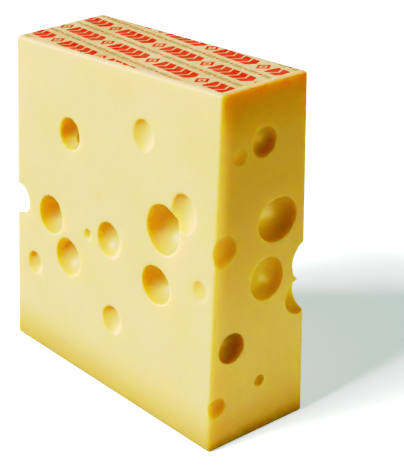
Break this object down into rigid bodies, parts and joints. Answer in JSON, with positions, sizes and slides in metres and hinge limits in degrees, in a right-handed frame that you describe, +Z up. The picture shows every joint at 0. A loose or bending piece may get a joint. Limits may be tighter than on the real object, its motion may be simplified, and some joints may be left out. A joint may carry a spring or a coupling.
{
  "type": "cheese block",
  "caption": "Upright rectangular block of large-eyed hard cheese with round eyes on its cut faces and rind on top and bottom.",
  "frame": {"origin": "centre of the outline of the base, on the surface that the block stands on", "axes": "+Z up along the axis of the wheel that the block was cut from; the long cut faces look along -Y and +Y, the short cut faces along -X and +X"},
  "size_m": [0.1897, 0.0767, 0.2048],
  "materials": {
    "cheese_paste": "smooth pale yellow cheese paste, slightly moist and translucent",
    "printed_rind": "dry cream rind with a plain red and olive-grey printed pattern"
  },
  "bodies": {
    "root": {"cheese_block": "cheese_paste"}
  },
  "joints": []
}
